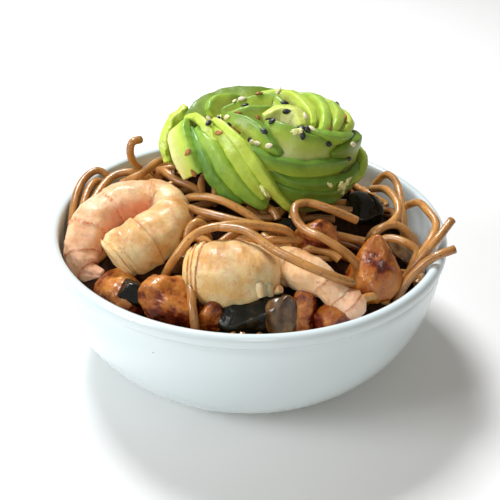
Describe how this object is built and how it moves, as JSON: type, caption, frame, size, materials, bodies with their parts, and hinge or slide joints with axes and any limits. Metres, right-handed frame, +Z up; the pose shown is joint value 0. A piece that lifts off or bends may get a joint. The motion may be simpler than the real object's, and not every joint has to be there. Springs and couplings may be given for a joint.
{
  "type": "bowl of noodles",
  "caption": "White glazed bowl of brown noodles with shrimps, fried chicken, aubergine and onion under a sliced avocado rose with sesame.",
  "frame": {"origin": "centre of the flat underside of the bowl's foot", "axes": "+Z up out of the bowl, -Y towards the front, where the shrimps lie, +X to the right of someone who faces the front"},
  "size_m": [0.15, 0.15, 0.0938],
  "materials": {
    "glaze": "gloss",
    "noodle": "satin",
    "shrimp": "satin",
    "chicken": "satin",
    "aubergine": "gloss",
    "onion": "gloss",
    "avocado": "satin"
  },
  "bodies": {
    "root": {"bowl": "glaze", "noodles": "noodle", "shrimp_left": "shrimp", "shrimp_front": "shrimp", "shrimp_right": "shrimp", "chicken_front": "chicken", "chicken_left": "chicken", "chicken_small": "chicken", "chicken_middle": "chicken", "chicken_bumpy": "chicken", "chicken_right": "chicken", "chicken_centre": "chicken", "chicken_back": "chicken", "chicken_rear": "chicken", "aubergine_half": "aubergine", "aubergine_skin": "aubergine", "aubergine_small": "aubergine", "aubergine_right": "aubergine", "aubergine_back": "aubergine", "onion_front": "onion", "onion_strip": "onion", "onion_left": "onion", "avocado_bud": "avocado", "avocado_petal": "avocado", "avocado_ledge": "avocado", "avocado_inner": "avocado", "avocado_lime": "avocado", "avocado_knob": "avocado", "avocado_strip_1": "avocado", "avocado_strip_2": "avocado", "avocado_strip_3": "avocado", "avocado_block": "avocado", "avocado_side": "avocado", "avocado_shoulder": "avocado", "avocado_wrap_1": "avocado", "avocado_wrap_2": "avocado", "avocado_wrap_3": "avocado", "avocado_wrap_4": "avocado", "avocado_fringe": "avocado", "avocado_arc_1": "avocado", "avocado_arc_2": "avocado", "avocado_arc_3": "avocado", "avocado_arc_4": "avocado", "avocado_arch_1": "avocado", "avocado_arch_2": "avocado", "avocado_arch_3": "avocado", "avocado_heart": "avocado", "avocado_rear_1": "avocado", "avocado_rear_2": "avocado", "avocado_rear_3": "avocado", "avocado_rear_4": "avocado", "avocado_rear_5": "avocado"}
  },
  "joints": []
}
